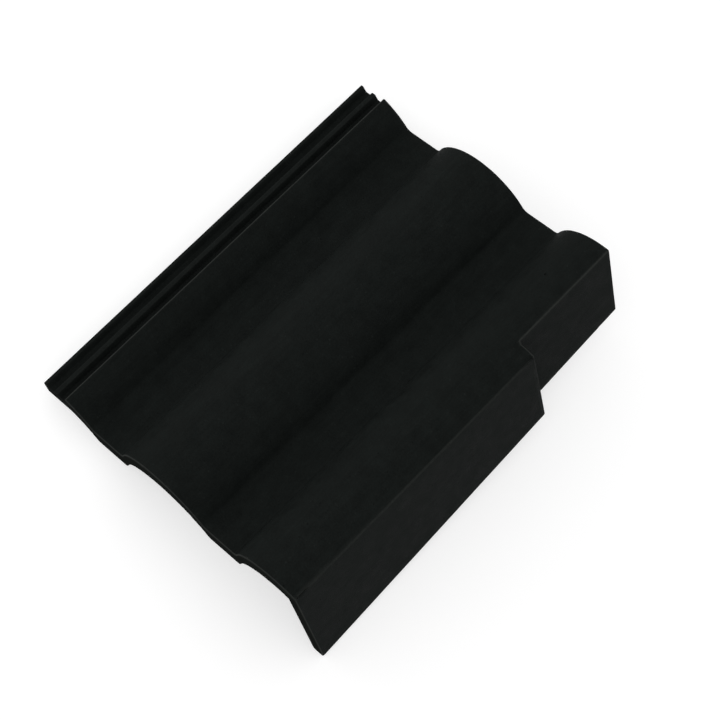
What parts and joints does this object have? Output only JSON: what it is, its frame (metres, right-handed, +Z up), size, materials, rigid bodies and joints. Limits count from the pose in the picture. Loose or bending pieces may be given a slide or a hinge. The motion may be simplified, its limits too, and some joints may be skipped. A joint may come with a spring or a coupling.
{
  "type": "verge tile",
  "caption": "Right-hand cloaked verge tile of double-roll form in black concrete, with a grooved underlock, a deep cloak stepped in at the head, and hanging nibs.",
  "frame": {"origin": "on the floor, under the centre of the tile's bounding box as it lies", "axes": "+Z up; +Y along the tile, from the nose to the head; +X across it, from the underlock to the cloak. The tile lies right way up, leaning on the nose of its first pan, a nib and the foot of the cloak, so its pans slope about 17 degrees"},
  "size_m": [0.354, 0.4214, 0.1321],
  "materials": {
    "concrete": "matt, fine granular"
  },
  "bodies": {
    "root": {"verge_tile": "concrete"}
  },
  "joints": []
}
